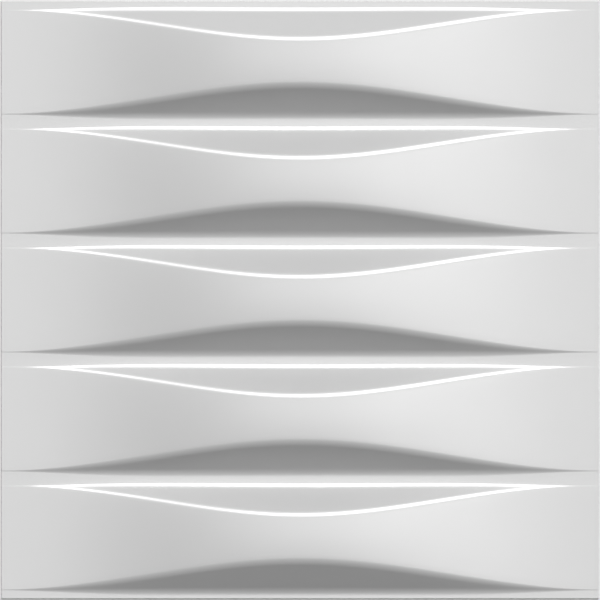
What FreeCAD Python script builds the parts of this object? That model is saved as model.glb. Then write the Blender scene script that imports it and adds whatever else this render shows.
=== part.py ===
import FreeCAD
import Part
import math
import os

# One moulded wall tile: a thin formed sheet with raised bands running across it and an open, hollow back.
# Millimetres and degrees. X runs along the bands, Y up the wall and Z out of the wall, from the back plane.

# Sizes of the sheet
PANEL_WIDTH = 500.0
PANEL_HEIGHT = 500.0
SHEET_THICKNESS = 1.0

# Layout of the bands up the panel
BAND_COUNT = 5
EDGE_LAND = 1.0
VALLEY_WIDTH = 12.4

# Section of a band where it stands highest: the angle that its walls come close to there, and how far
# the middle of a wall stands in from the edge of the band, as a share of its height
WALL_HEIGHT = 24.4
WALL_ANGLE = 48.5
WALL_INSET = 0.49
FILLET_RADIUS = 10.5

# Run-out of a band towards the two side edges, where its walls sink and lean back
EDGE_HEIGHT = 0.1
BELL_POWER = 2.4
LEAN_HEIGHT = 6.0
LEAN_POWER = 0.38

# Share of a wall's height, or of a valley's half width, that its fillets may take
FILLET_SHARE = 0.92

# Cross-sections that the skins are drawn through, and strips that each fillet is drawn in
SECTION_COUNT = 13
FOOT_STRIPS = 2
TOP_STRIPS = 3

full_tilt = math.radians(WALL_ANGLE)
band_pitch = (PANEL_HEIGHT - 2 * EDGE_LAND) / BAND_COUNT
half_base = (band_pitch - VALLEY_WIDTH) / 2
largest_fillet = min(FILLET_RADIUS, FILLET_SHARE * VALLEY_WIDTH / 2 / math.tan(full_tilt / 2))
section_places = [PANEL_WIDTH * (index / (SECTION_COUNT - 1) - 0.5) for index in range(SECTION_COUNT)]


def wall_height_at(x):
    """Height of a band above the valleys at a place along it."""
    bell = max(math.cos(math.pi * x / PANEL_WIDTH), 0.0) ** BELL_POWER
    return EDGE_HEIGHT + (WALL_HEIGHT - EDGE_HEIGHT) * bell


def half_section(x, depth):
    """Joints up one side of a band: distance from its middle line, height and slope of the sheet there."""
    height = wall_height_at(x)
    tilt = full_tilt * math.tanh((height / LEAN_HEIGHT) ** LEAN_POWER)
    wall_room = FILLET_SHARE * height / (2 - 2 * math.cos(tilt))
    radius = largest_fillet * math.tanh(wall_room / largest_fillet)
    straight = (height - 2 * radius * (1 - math.cos(tilt))) / math.sin(tilt)
    reach = straight / 2 * math.cos(tilt) + radius * math.sin(tilt)
    wall_middle = half_base - WALL_INSET * height

    # The foot fillet is centred in front of the sheet and the top fillet behind it.
    joints = []
    for step in range(FOOT_STRIPS + 1):
        slope = tilt * step / FOOT_STRIPS
        out = wall_middle + reach - (radius + depth) * math.sin(slope)
        rise = SHEET_THICKNESS + radius - (radius + depth) * math.cos(slope)
        joints.append((out, rise, slope))
    for step in range(TOP_STRIPS + 1):
        slope = tilt * (1 - step / TOP_STRIPS)
        out = wall_middle - reach + (radius - depth) * math.sin(slope)
        rise = SHEET_THICKNESS + height - radius + (radius - depth) * math.cos(slope)
        joints.append((out, rise, slope))
    return joints


def meeting_point(start, end):
    """Place where the tangents of an arc's two ends meet."""
    chord = math.hypot(end[0] - start[0], end[1] - start[1])
    length = chord / 2 / math.cos((end[2] - start[2]) / 2)
    return (start[0] - length * math.cos(start[2]), start[1] + length * math.sin(start[2]))


def long_curve(joints, y_middle, side):
    """Smooth curve through the same joint of every section of a band."""
    points = []
    for x, joint in zip(section_places, joints):
        points.append(FreeCAD.Vector(x, y_middle + side * joint[0], joint[1]))
    curve = Part.BSplineCurve()
    curve.interpolate(Points=points, Parameters=section_places)
    return curve


def strip_face(starts, ends, y_middle, side):
    """Face from one joint to the next: part of a fillet, or a straight wall where the slope is the same."""
    rows = [starts, ends]
    if starts[0][2] != ends[0][2]:
        rows.insert(1, [meeting_point(start, end) for start, end in zip(starts, ends)])
    curves = [long_curve(row, y_middle, side) for row in rows]
    poles = list(zip(*[curve.getPoles() for curve in curves]))
    across = len(rows) - 1
    surface = Part.BSplineSurface()
    surface.buildFromPolesMultsKnots(
        poles, curves[0].getMultiplicities(), [across + 1, across + 1], curves[0].getKnots(), [0.0, 1.0],
        False, False, curves[0].Degree, across)
    return surface.toShape()


def outline_between(low, high):
    """Closed outline of two long edges and the straight ends that join them."""
    left = Part.makeLine(low.firstVertex().Point, high.firstVertex().Point)
    right = Part.makeLine(low.lastVertex().Point, high.lastVertex().Point)
    return Part.Wire(Part.sortEdges([low, right, high, left])[0])


def band_top(low, high, joints, y_middle):
    """Broad face of a band: the rise and fall along the band, drawn straight across it."""
    spine = long_curve([(0.0, joint[1]) for joint in joints], y_middle, 1)
    surface = Part.SurfaceOfExtrusion(spine, FreeCAD.Vector(0, 1, 0))
    face = Part.Face(surface, outline_between(low, high))
    face.validate()
    return face


def sheet_edge(y, rise):
    """Straight edge of the sheet along its foot or its head."""
    return Part.makeLine(FreeCAD.Vector(-PANEL_WIDTH / 2, y, rise), FreeCAD.Vector(PANEL_WIDTH / 2, y, rise))


def skin(depth):
    """All faces of the sheet on one side, at a depth below its front."""
    faces = []
    rise = SHEET_THICKNESS - depth
    rows = list(zip(*[half_section(x, depth) for x in section_places]))
    valley_edge = sheet_edge(-PANEL_HEIGHT / 2, rise)
    for band in range(BAND_COUNT):
        y_middle = (band - (BAND_COUNT - 1) / 2) * band_pitch
        for side in (-1, 1):
            for starts, ends in zip(rows, rows[1:]):
                faces.append(strip_face(starts, ends, y_middle, side))
        low_foot = long_curve(rows[0], y_middle, -1).toShape()
        high_foot = long_curve(rows[0], y_middle, 1).toShape()
        low_brow = long_curve(rows[-1], y_middle, -1).toShape()
        high_brow = long_curve(rows[-1], y_middle, 1).toShape()
        faces.append(band_top(low_brow, high_brow, rows[-1], y_middle))
        faces.append(Part.Face(outline_between(valley_edge, low_foot)))
        valley_edge = high_foot
    faces.append(Part.Face(outline_between(valley_edge, sheet_edge(PANEL_HEIGHT / 2, rise))))
    return faces


def cut_face(faces, axis, place):
    """Flat cut edge of the sheet, between the front and back edges that lie in one side plane."""
    edges = []
    for face in faces:
        for edge in face.Edges:
            if all(abs(vertex.Point[axis] - place) < 0.001 for vertex in edge.Vertexes):
                edges.append(edge)
    for side in (-1, 1):
        corner = [side * PANEL_WIDTH / 2, side * PANEL_HEIGHT / 2]
        corner[axis] = place
        back = FreeCAD.Vector(corner[0], corner[1], 0)
        front = FreeCAD.Vector(corner[0], corner[1], SHEET_THICKNESS)
        edges.append(Part.makeLine(back, front))
    return Part.Face(Part.Wire(Part.sortEdges(edges)[0]))


# The front skin, the back skin and the four cut edges close into one solid sheet.
skins = skin(0.0) + skin(SHEET_THICKNESS)
cut_edges = []
for side in (-1, 1):
    cut_edges.append(cut_face(skins, 0, side * PANEL_WIDTH / 2))
    cut_edges.append(cut_face(skins, 1, side * PANEL_HEIGHT / 2))
sheet = Part.makeCompound(skins + cut_edges)
sheet.sewShape()
wall_panel = Part.makeSolid(sheet.Shells[0])
if wall_panel.Volume < 0:
    wall_panel.reverse()

os.makedirs("parts", exist_ok=True)
wall_panel.exportStep("parts/wall_panel.step")
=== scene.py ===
import math

import bpy
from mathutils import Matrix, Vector


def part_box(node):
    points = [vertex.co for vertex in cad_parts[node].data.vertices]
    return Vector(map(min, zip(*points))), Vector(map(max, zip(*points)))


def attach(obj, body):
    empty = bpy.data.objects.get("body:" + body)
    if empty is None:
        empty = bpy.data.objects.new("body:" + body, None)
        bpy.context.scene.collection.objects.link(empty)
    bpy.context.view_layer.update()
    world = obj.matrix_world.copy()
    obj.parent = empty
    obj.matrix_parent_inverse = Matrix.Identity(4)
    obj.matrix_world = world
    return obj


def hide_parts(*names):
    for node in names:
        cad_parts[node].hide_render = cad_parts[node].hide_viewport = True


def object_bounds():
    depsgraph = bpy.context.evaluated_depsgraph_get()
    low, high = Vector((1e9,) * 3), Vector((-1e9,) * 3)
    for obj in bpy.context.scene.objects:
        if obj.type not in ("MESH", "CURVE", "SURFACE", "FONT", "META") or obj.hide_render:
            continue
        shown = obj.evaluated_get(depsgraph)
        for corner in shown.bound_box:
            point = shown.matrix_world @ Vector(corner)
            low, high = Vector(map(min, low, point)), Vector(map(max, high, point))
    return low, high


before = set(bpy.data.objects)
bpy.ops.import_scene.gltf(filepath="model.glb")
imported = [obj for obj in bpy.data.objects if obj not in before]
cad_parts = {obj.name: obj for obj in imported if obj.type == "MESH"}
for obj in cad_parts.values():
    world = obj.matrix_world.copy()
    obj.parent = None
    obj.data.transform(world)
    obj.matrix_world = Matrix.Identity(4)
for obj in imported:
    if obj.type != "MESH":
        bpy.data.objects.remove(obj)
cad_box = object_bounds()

# The moulded sheet
# One piece of white PVC about a millimetre thick, heated and drawn over a mould, so that front and back
# follow each other. Five bands swell towards the middle and run out flat at both sides. The outline is
# trimmed to size after forming, with its sharp corners eased.
MM = 0.001
SHEET_THICKNESS = 1.0
BAND_COUNT = 5
EDGE_LAND = 1.0
VALLEY_WIDTH = 12.4
WALL_ANGLE = math.radians(48.5)
WALL_INSET = 0.49
FILLET_RADIUS = 10.5
EDGE_HEIGHT = 0.1
BELL_POWER = 2.4
LEAN_HEIGHT = 6.0
LEAN_POWER = 0.38
FILLET_SHARE = 0.92
CROWN_ANGLE = math.radians(3.0)
TRIM_EASE = 0.15

box_low, box_high = [[value / MM for value in corner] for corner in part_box("wall_panel")]
panel_width = box_high[0] - box_low[0]
panel_height = box_high[1] - box_low[1]
wall_height = box_high[2] - box_low[2] - SHEET_THICKNESS
band_pitch = (panel_height - 2 * EDGE_LAND) / BAND_COUNT
half_base = (band_pitch - VALLEY_WIDTH) / 2

# Steps of the mesh along the bands, and across half a band from the valley's middle to the band's middle
COLUMNS = 160
VALLEY_STEPS = 1
FOOT_STEPS = 8
WALL_STEPS = 2
BROW_STEPS = 8
FACE_STEPS = 6

# Angle between two faces of the mesh from which their edge is drawn sharp, as round the cut edge
SHARP_ANGLE = math.radians(30.0)


def half_band(x):
    """Points up one side of a band at x: distance from its middle line, height of the front, slope there."""
    bell = max(math.cos(math.pi * x / panel_width), 0.0) ** BELL_POWER
    height = EDGE_HEIGHT + (wall_height - EDGE_HEIGHT) * bell
    tilt = WALL_ANGLE * math.tanh((height / LEAN_HEIGHT) ** LEAN_POWER)
    wall_room = FILLET_SHARE * height / (2 - 2 * math.cos(tilt))
    radius = FILLET_RADIUS * math.tanh(wall_room / FILLET_RADIUS)
    uncrowned_wall = (height - 2 * radius * (1 - math.cos(tilt))) / math.sin(tilt)
    wall_middle = half_base - WALL_INSET * height
    foot = wall_middle + uncrowned_wall / 2 * math.cos(tilt) + radius * math.sin(tilt)

    # The wall stops a little lower than the band's middle line, which leaves the broad face its slight crown.
    crown = CROWN_ANGLE * height / wall_height
    crown_share = math.tan(crown / 2)
    fillet_rise = radius * (1 + math.cos(crown) - 2 * math.cos(tilt))
    fillet_run = radius * (2 * math.sin(tilt) - math.sin(crown))
    wall_rise = height - fillet_rise - (foot - fillet_run) * crown_share
    wall = wall_rise / (math.sin(tilt) - math.cos(tilt) * crown_share)

    points = []
    for step in range(VALLEY_STEPS):
        share = step / VALLEY_STEPS
        points.append((band_pitch / 2 * (1 - share) + foot * share, SHEET_THICKNESS, 0.0))
    for step in range(FOOT_STEPS):
        slope = tilt * step / FOOT_STEPS
        rise = SHEET_THICKNESS + radius * (1 - math.cos(slope))
        points.append((foot - radius * math.sin(slope), rise, slope))
    wall_foot = foot - radius * math.sin(tilt)
    wall_low = SHEET_THICKNESS + radius * (1 - math.cos(tilt))
    for step in range(WALL_STEPS):
        length = wall * step / WALL_STEPS
        points.append((wall_foot - length * math.cos(tilt), wall_low + length * math.sin(tilt), tilt))
    brow_middle = wall_foot - wall * math.cos(tilt) - radius * math.sin(tilt)
    brow_low = wall_low + wall * math.sin(tilt) - radius * math.cos(tilt)
    for step in range(BROW_STEPS):
        slope = tilt + (crown - tilt) * step / BROW_STEPS
        points.append((brow_middle + radius * math.sin(slope), brow_low + radius * math.cos(slope), slope))
    face_half = brow_middle + radius * math.sin(crown)
    face_radius = face_half / math.sin(crown)
    for step in range(FACE_STEPS + 1):
        slope = crown * (1 - step / FACE_STEPS)
        drop = face_radius * (1 - math.cos(slope))
        points.append((face_radius * math.sin(slope), SHEET_THICKNESS + height - drop, slope))
    return points


def sheet_column(x, depth):
    """Points up the whole sheet at x, at a depth below its front, from the foot edge to the head edge."""
    half = half_band(x)
    column = [(x, -panel_height / 2 + TRIM_EASE, SHEET_THICKNESS - depth)]
    for band in range(BAND_COUNT):
        middle = (band - (BAND_COUNT - 1) / 2) * band_pitch
        for out, rise, slope in half:
            column.append((x, middle - out + depth * math.sin(slope), rise - depth * math.cos(slope)))
        for out, rise, slope in reversed(half[1:-1]):
            column.append((x, middle + out - depth * math.sin(slope), rise - depth * math.cos(slope)))
    column.append((x, panel_height / 2 - EDGE_LAND, SHEET_THICKNESS - depth))
    column.append((x, panel_height / 2 - TRIM_EASE, SHEET_THICKNESS - depth))
    return column


def moulded_sheet(name):
    """Closed mesh of the sheet: a front and a back grid, joined round the outline by an eased cut edge."""
    trimmed_width = panel_width - 2 * TRIM_EASE
    places = [trimmed_width * (index / COLUMNS - 0.5) for index in range(COLUMNS + 1)]
    front = [sheet_column(x, 0.0) for x in places]
    back = [sheet_column(x, SHEET_THICKNESS) for x in places]
    rows = len(front[0])
    points = [point for column in front + back for point in column]
    back_start = len(places) * rows
    faces = []
    for column in range(COLUMNS):
        for row in range(rows - 1):
            corner = column * rows + row
            faces.append((corner, corner + rows, corner + rows + 1, corner + 1))
            under = back_start + corner
            faces.append((under, under + 1, under + rows + 1, under + rows))

    # Round the outline, the cut edge stands out from both grids by the amount that its corners are eased.
    outline = [column * rows for column in range(COLUMNS)]
    outline += [COLUMNS * rows + row for row in range(rows - 1)]
    outline += [column * rows + rows - 1 for column in range(COLUMNS, 0, -1)]
    outline += list(range(rows - 1, 0, -1))
    edge_start = len(points)
    near_edge = 1.5 * TRIM_EASE
    for index in outline:
        x, y, rise = points[index]
        sunk = points[back_start + index][2]
        at_side = abs(x) > panel_width / 2 - near_edge
        at_head_or_foot = abs(y) > panel_height / 2 - near_edge
        edge_x = math.copysign(panel_width / 2, x) if at_side else x
        edge_y = math.copysign(panel_height / 2, y) if at_head_or_foot else y
        points.append((edge_x, edge_y, rise - TRIM_EASE))
        points.append((edge_x, edge_y, sunk + TRIM_EASE))
    for place, index in enumerate(outline):
        after = (place + 1) % len(outline)
        upper = edge_start + 2 * place
        next_upper = edge_start + 2 * after
        faces.append((index, upper, next_upper, outline[after]))
        faces.append((upper, upper + 1, next_upper + 1, next_upper))
        faces.append((upper + 1, back_start + index, back_start + outline[after], next_upper + 1))

    mesh = bpy.data.meshes.new(name)
    mesh.from_pydata([[value * MM for value in point] for point in points], [], faces)
    mesh.validate()
    mesh.shade_smooth()
    mesh.set_sharp_from_angle(angle=SHARP_ANGLE)
    piece = bpy.data.objects.new(name, mesh)
    bpy.context.collection.objects.link(piece)
    return piece


def linear(hex_colour):
    """Linear colour of an sRGB hex value."""
    channels = []
    for start in (0, 2, 4):
        value = int(hex_colour[start:start + 2], 16) / 255
        channels.append(value / 12.92 if value <= 0.04045 else ((value + 0.055) / 1.055) ** 2.4)
    return (*channels, 1.0)


def add_node(tree, kind, settings=None, links=None):
    """Adds a node, sets its options and input values, and links other nodes' outputs to its inputs."""
    node = tree.nodes.new(kind)
    for name, value in (settings or {}).items():
        if name in node.inputs:
            node.inputs[name].default_value = value
        else:
            setattr(node, name, value)
    for name, source in (links or {}).items():
        tree.links.new(source, node.inputs[name])
    return node


def formed_pvc():
    """Thermoformed white PVC under a bright satin lacquer: an even white with broad soft highlights, a trace
    of orange peel from the softened skin, and faint clouding from uneven heating."""
    white = linear("BABABA")
    clouded_white = linear("B7B7B7")
    cloud_size = 45.0
    cloud_detail = 2.0
    peel_size = 3.5
    peel_detail = 1.0
    peel_height = 0.012
    least_roughness = 0.33
    most_roughness = 0.35
    pvc_index = 1.53
    lacquer_roughness = 0.34

    # A real lacquer has an index of about 1.5. This one is higher, matched to how strongly the sheet gleams.
    lacquer_index = 2.0

    material = bpy.data.materials.new("thermoformed_pvc")
    material.use_nodes = True
    tree = material.node_tree
    tree.nodes.clear()
    place = add_node(tree, "ShaderNodeTexCoord").outputs["Object"]
    clouds = add_node(
        tree, "ShaderNodeTexNoise", {"Scale": 1 / (cloud_size * MM), "Detail": cloud_detail},
        {"Vector": place})
    colour = add_node(tree, "ShaderNodeValToRGB", {}, {"Fac": clouds.outputs["Fac"]})
    colour.color_ramp.elements[0].color = white
    colour.color_ramp.elements[1].color = clouded_white
    satin = add_node(
        tree, "ShaderNodeMapRange", {"To Min": least_roughness, "To Max": most_roughness},
        {"Value": clouds.outputs["Fac"]})
    peel = add_node(
        tree, "ShaderNodeTexNoise", {"Scale": 1 / (peel_size * MM), "Detail": peel_detail},
        {"Vector": place})
    skin = add_node(tree, "ShaderNodeBump", {"Distance": peel_height * MM}, {"Height": peel.outputs["Fac"]})
    shader = add_node(
        tree, "ShaderNodeBsdfPrincipled",
        {"IOR": pvc_index, "Coat Weight": 1.0, "Coat Roughness": lacquer_roughness,
         "Coat IOR": lacquer_index},
        {"Base Color": colour.outputs["Color"], "Roughness": satin.outputs["Result"],
         "Normal": skin.outputs["Normal"]})
    add_node(tree, "ShaderNodeOutputMaterial", {}, {"Surface": shader.outputs["BSDF"]})
    return material


panel = moulded_sheet("wall_panel_sheet")
panel.data.materials.append(formed_pvc())
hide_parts("wall_panel")
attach(panel, "root")

# The floor
# A plain pale studio floor that the sheet lies on, painted matt and wide enough to fill every view of it.
# It is drawn a hair below the sheet's back, so that the two don't share a plane.
FLOOR_SIZE = 60.0
FLOOR_GAP = 0.0002
FLOOR_COLOUR = "E6E6E6"
FLOOR_ROUGHNESS = 0.9
half_floor = FLOOR_SIZE / 2
floor_low = cad_box[0][2] - FLOOR_GAP
floor_corners = [(x, y, floor_low) for x in (-half_floor, half_floor) for y in (-half_floor, half_floor)]
floor_mesh = bpy.data.meshes.new("studio_floor")
floor_mesh.from_pydata(floor_corners, [], [(0, 2, 3, 1)])
floor = bpy.data.objects.new("studio_floor", floor_mesh)
bpy.context.collection.objects.link(floor)
floor_paint = bpy.data.materials.new("matt_floor_paint")
floor_paint.use_nodes = True
floor_shader = floor_paint.node_tree.nodes["Principled BSDF"]
floor_shader.inputs["Base Color"].default_value = linear(FLOOR_COLOUR)
floor_shader.inputs["Roughness"].default_value = FLOOR_ROUGHNESS
floor_mesh.materials.append(floor_paint)

# The light
# Three soft boxes, far off so that every band gets the same light: a key above the head edge, which draws
# the white lines along the rounded corners, a dimmer one overhead, whose gleam lies on the flats and the
# broad faces, and a small one to the right of it for the faces that lean that way.
LAMP_DISTANCE = 30.0


def soft_box(name, towards_head, towards_right, across, along, light_on_sheet):
    """Far soft box tilted from straight overhead by two angles, as wide and high as two more, in degrees."""
    lamp = bpy.data.lights.new(name, "AREA")
    lamp.shape = "RECTANGLE"
    lamp.size = 2 * LAMP_DISTANCE * math.tan(math.radians(across / 2))
    lamp.size_y = 2 * LAMP_DISTANCE * math.tan(math.radians(along / 2))
    lamp.energy = light_on_sheet * math.pi * LAMP_DISTANCE ** 2
    stand = bpy.data.objects.new(name, lamp)
    stand.rotation_euler = (math.radians(-towards_head), math.radians(towards_right), 0.0)
    stand.location = stand.rotation_euler.to_matrix() @ Vector((0.0, 0.0, LAMP_DISTANCE))
    stand.visible_camera = False
    bpy.context.collection.objects.link(stand)


soft_box("key_box", towards_head=43.0, towards_right=14.0, across=37.0, along=14.0, light_on_sheet=3.15)
soft_box("overhead_box", towards_head=4.0, towards_right=6.0, across=48.0, along=17.0, light_on_sheet=0.7)
soft_box("side_box", towards_head=4.0, towards_right=24.0, across=16.0, along=20.0, light_on_sheet=0.25)

# The room round the boxes is pale. It stands behind the sheet in a level view and shows in the sheet's gleam,
# and leaves the lighting to the boxes.
ROOM_COLOUR = "D6D6D6"
room = bpy.data.worlds.new("studio")
room.use_nodes = True
room.node_tree.nodes.clear()
path = add_node(room.node_tree, "ShaderNodeLightPath").outputs
seen_by = add_node(
    room.node_tree, "ShaderNodeCombineXYZ", {},
    {"X": path["Is Camera Ray"], "Y": path["Is Glossy Ray"], "Z": path["Is Transmission Ray"]})
seen = add_node(
    room.node_tree, "ShaderNodeVectorMath", {"operation": "LENGTH"}, {"Vector": seen_by.outputs["Vector"]})
backdrop = add_node(
    room.node_tree, "ShaderNodeBackground", {"Color": linear(ROOM_COLOUR)},
    {"Strength": seen.outputs["Value"]})
add_node(room.node_tree, "ShaderNodeOutputWorld", {}, {"Surface": backdrop.outputs["Background"]})
bpy.context.scene.world = room

# The camera
# Straight above the sheet with its head edge at the top, far off with a long lens, so that the view is
# almost flat.
CAMERA_HEIGHT = 20.0
FRAME_WIDTH = 502.5
camera_data = bpy.data.cameras.new("camera")
camera_data.lens = camera_data.sensor_width * CAMERA_HEIGHT / (FRAME_WIDTH * MM)
camera_data.clip_end = 2 * FLOOR_SIZE
camera = bpy.data.objects.new("camera", camera_data)
camera.location = (0.0, 0.0, CAMERA_HEIGHT)
bpy.context.collection.objects.link(camera)
bpy.context.scene.camera = camera
bpy.context.scene.view_settings.view_transform = "Standard"
